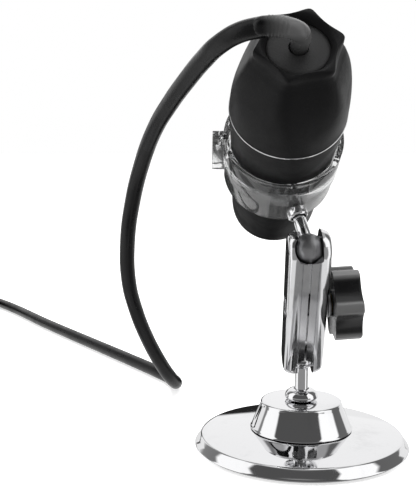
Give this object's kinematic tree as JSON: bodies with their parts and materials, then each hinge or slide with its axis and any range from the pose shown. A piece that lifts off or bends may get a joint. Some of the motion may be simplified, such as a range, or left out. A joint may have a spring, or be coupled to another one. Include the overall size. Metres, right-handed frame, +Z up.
{
  "type": "usb digital microscope",
  "caption": "Handheld USB digital microscope clamped in a clear ring on a ball-jointed chrome table stand, with its cord and plug.",
  "frame": {"origin": "middle of the underside of the foot pad, on the table", "axes": "+Z up along the post; the arm and the microscope's tail lean toward -Y; the clamp knob is on the +X side"},
  "size_m": [0.293, 0.3347, 0.1334],
  "materials": {
    "chrome": "polished",
    "satin_steel": "satin",
    "spring_steel": "drawn wire",
    "cast_iron": "rough cast",
    "foam_pad": "matte",
    "brass": "turned",
    "gloss_black": "gloss",
    "matte_black": "fine matte",
    "cord_jacket": "smooth satin",
    "clear_plastic": "clear, polished",
    "lens_glass": "polished",
    "filter_glass": "polished",
    "circuit_board": "solder mask",
    "chip_black": "moulded",
    "ivory_plastic": "moulded",
    "led_lens": "clear epoxy"
  },
  "bodies": {
    "base": {"base_disc": "chrome", "base_pad": "foam_pad", "base_weight": "cast_iron", "base_dome": "chrome", "post_collar": "chrome"},
    "lower_stud": {"lower_stud": "satin_steel"},
    "arm": {"fixed_jaw": "chrome", "clamp_bolt": "satin_steel", "jaw_spring": "spring_steel"},
    "jaw": {"moving_jaw": "chrome", "knob_washer": "satin_steel"},
    "knob": {"clamp_knob": "gloss_black", "knob_insert": "brass"},
    "upper_stud": {"upper_stud": "satin_steel"},
    "holder": {"clear_ring": "clear_plastic", "ring_boss": "chrome"},
    "microscope": {"rear_shell": "matte_black", "end_cap": "matte_black", "trim_ring": "chrome", "front_shell": "matte_black", "inner_frame": "matte_black", "led_board": "circuit_board", "led_1": "led_lens", "led_2": "led_lens", "led_3": "led_lens", "led_4": "led_lens", "led_5": "led_lens", "led_6": "led_lens", "led_7": "led_lens", "led_8": "led_lens", "nose_window": "clear_plastic", "sensor_board": "circuit_board", "image_sensor": "chip_black", "ir_filter": "filter_glass", "main_board": "circuit_board", "main_chip": "chip_black", "cable_socket": "ivory_plastic", "snap_switch": "chip_black", "strain_relief": "cord_jacket", "cord_lead": "cord_jacket", "cord_coil": "cord_jacket", "cord_tail": "cord_jacket", "cord_tie": "cord_jacket", "plug_neck": "cord_jacket", "plug_grip": "matte_black", "plug_shell": "chrome", "plug_tongue": "ivory_plastic"},
    "nose": {"nose_barrel": "matte_black"},
    "lens_carrier": {"lens_barrel": "matte_black", "front_lens": "lens_glass", "rear_lens": "lens_glass"},
    "button": {"snap_button": "gloss_black"}
  },
  "joints": [
    {"name": "post_spin", "type": "hinge", "parent": "base", "child": "lower_stud", "pos_m": [0, 0, 0.0301], "axis": [0, 0, 1], "continuous": true},
    {"name": "arm_tilt", "type": "hinge", "parent": "lower_stud", "child": "arm", "pos_m": [0, 0, 0.0301], "axis": [0.9929, 0.1023, 0.0608], "range_deg": [-30, 20]},
    {"name": "jaw_open", "type": "slide", "parent": "arm", "child": "jaw", "axis": [0.9929, 0.1023, 0.0608], "range_m": [0, 0.0008]},
    {"name": "knob_turn", "type": "hinge", "parent": "jaw", "child": "knob", "pos_m": [0.00024, -0.01385, 0.04945], "axis": [0.9929, 0.1023, 0.0608], "range_deg": [0, 360]},
    {"name": "head_tilt", "type": "hinge", "parent": "arm", "child": "upper_stud", "pos_m": [0.00048, -0.0275, 0.06852], "axis": [0.9929, 0.1023, 0.0608], "range_deg": [-5, 70]},
    {"name": "ring_swivel", "type": "hinge", "parent": "upper_stud", "child": "holder", "pos_m": [0.00048, -0.0275, 0.06852], "axis": [-0.2736, 0.4991, 0.8223], "range_deg": [-20, 30]},
    {"name": "scope_slide", "type": "slide", "parent": "holder", "child": "microscope", "axis": [0.0693, -0.8424, 0.5344], "range_m": [-0.004, 0.01]},
    {"name": "focus_turn", "type": "hinge", "parent": "microscope", "child": "nose", "pos_m": [-0.00795, -0.01213, 0.09384], "axis": [0.0693, -0.8424, 0.5344], "range_deg": [0, 270]},
    {"name": "focus_travel", "type": "slide", "parent": "microscope", "child": "lens_carrier", "axis": [0.0693, -0.8424, 0.5344], "range_m": [0, 0.006]},
    {"name": "snap_press", "type": "slide", "parent": "microscope", "child": "button", "axis": [0.2736, -0.4991, -0.8223], "range_m": [0, 0.0006], "stiffness_N_per_m": 800}
  ],
  "couplings": [
    {"joint": "knob_turn", "follows": "jaw_open", "rad_per_m": 7854},
    {"joint": "focus_turn", "follows": "focus_travel", "rad_per_m": 785.4}
  ]
}
